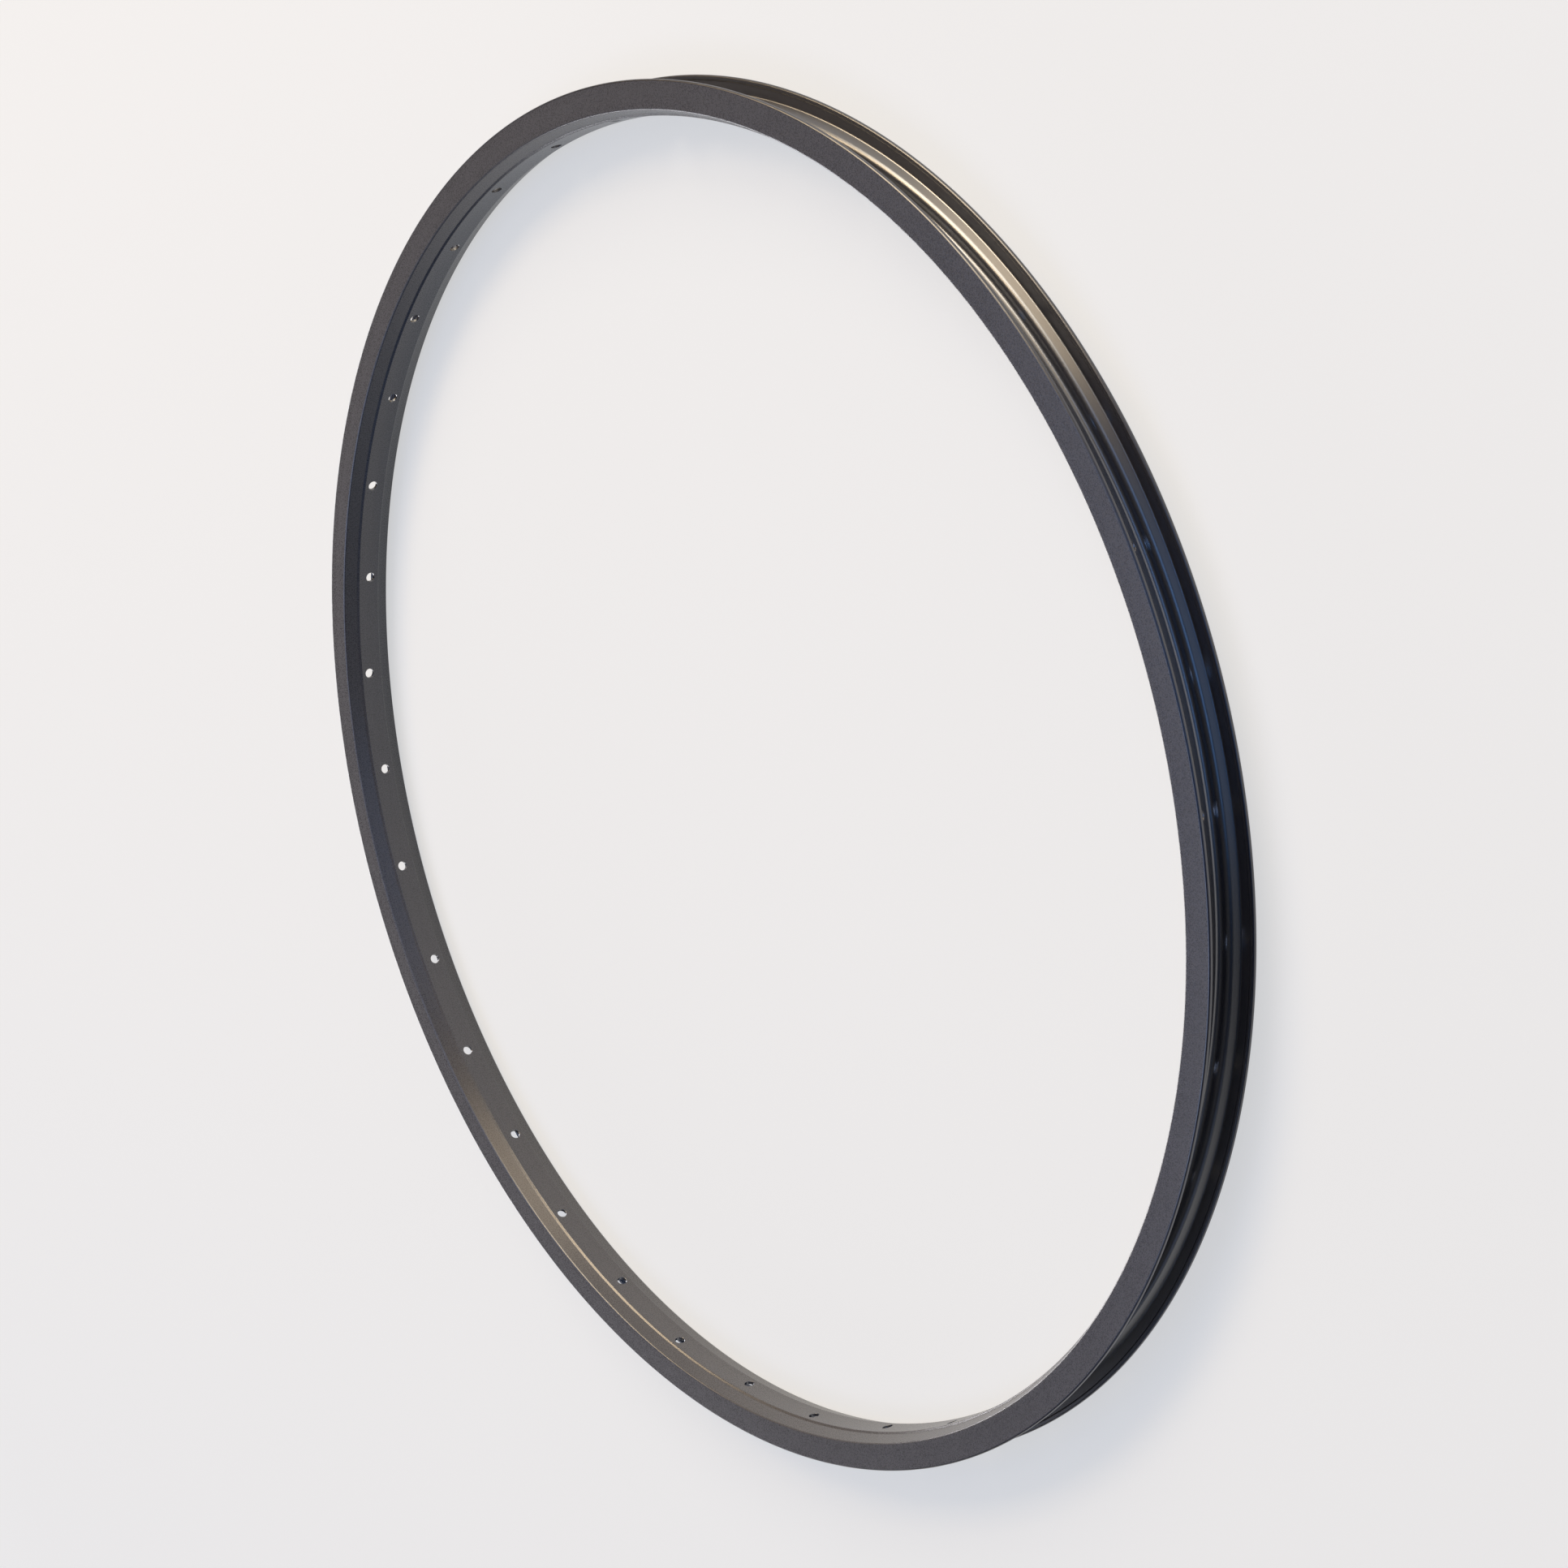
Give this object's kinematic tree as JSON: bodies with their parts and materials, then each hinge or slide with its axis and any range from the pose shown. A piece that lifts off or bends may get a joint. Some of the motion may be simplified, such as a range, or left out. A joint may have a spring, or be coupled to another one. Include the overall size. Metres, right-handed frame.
{
  "type": "bicycle rim",
  "caption": "Single-wall bicycle rim: an aluminium ring with hooked flanges and a tyre channel outside, and a raised spoke bed with staggered spoke holes and a valve hole inside.",
  "frame": {"origin": "centre of the wheel, on the rim's axis in its middle plane", "axes": "+Z along the wheel's axis, up as the rim lies on its side; +X through the valve hole; +Y completes a right-handed frame"},
  "size_m": [0.5968, 0.5968, 0.0244],
  "materials": {
    "black_anodised_aluminium": "black anodised, finely blasted outside, satin in the tyre channel"
  },
  "bodies": {
    "root": {"rim": "black_anodised_aluminium"}
  },
  "joints": []
}
